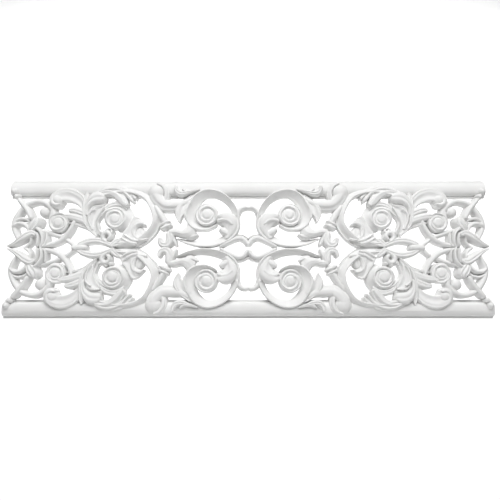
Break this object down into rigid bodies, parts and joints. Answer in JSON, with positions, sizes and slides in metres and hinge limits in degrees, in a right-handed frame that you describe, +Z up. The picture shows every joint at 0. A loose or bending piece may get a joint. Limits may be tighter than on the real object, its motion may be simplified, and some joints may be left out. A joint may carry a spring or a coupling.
{
  "type": "openwork frieze moulding",
  "caption": "Straight length of baroque openwork frieze: acanthus scrolls, volutes and interlaced strapwork cast between two half-round rails, with a flat back.",
  "frame": {"origin": "middle of the flat back, on the knot at the middle of the length and of the height", "axes": "+X along the moulding to the viewer's right, +Z up, +Y into the wall; the carved front looks towards -Y"},
  "size_m": [1, 0.027, 0.29],
  "materials": {
    "plaster": "white gypsum plaster, fine matt surface"
  },
  "bodies": {
    "root": {"frieze_moulding": "plaster"}
  },
  "joints": []
}
